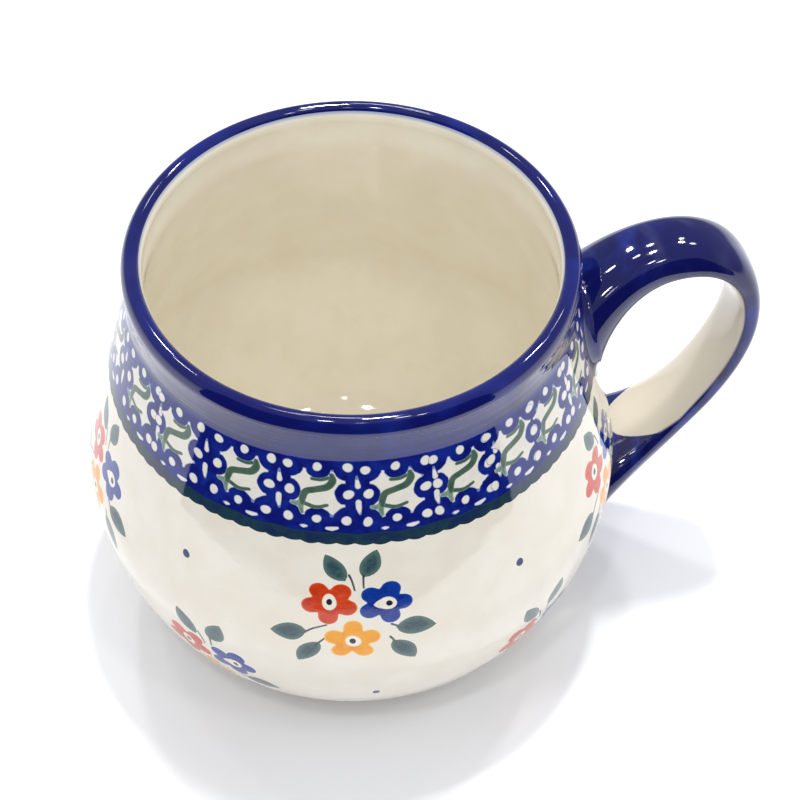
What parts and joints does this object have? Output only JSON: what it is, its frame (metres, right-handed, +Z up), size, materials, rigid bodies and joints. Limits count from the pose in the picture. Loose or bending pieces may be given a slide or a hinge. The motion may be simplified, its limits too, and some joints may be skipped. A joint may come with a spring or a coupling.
{
  "type": "stoneware mug",
  "caption": "Round-bellied stoneware drinking mug with a rolled lip, a looped strap handle and a glazed, hand-stamped flower and band decoration.",
  "frame": {"origin": "where the axis of the round body meets the table plane under the foot ring", "axes": "+Z up along the body's axis, +X from the axis towards the handle, +Y to the left of the handle seen from the handle's side"},
  "size_m": [0.1335, 0.105, 0.092],
  "materials": {
    "bare_clay": "fired stoneware clay, unglazed, dry and slightly sandy",
    "cream_glaze": "glossy clear glaze over cream clay",
    "cobalt_glaze": "glossy clear glaze over brushed cobalt blue",
    "decorated_glaze": "glossy clear glaze over cream clay with a stamped cobalt band and brushed flowers"
  },
  "bodies": {
    "root": {"stoneware_body": "bare_clay", "handle": "bare_clay", "upper_luting_seam": "cobalt_glaze", "lower_luting_seam": "cobalt_glaze", "inside_glaze": "cream_glaze", "rim_glaze": "cobalt_glaze", "outside_glaze": "decorated_glaze", "base_glaze": "cream_glaze", "handle_glaze": "cobalt_glaze"}
  },
  "joints": []
}
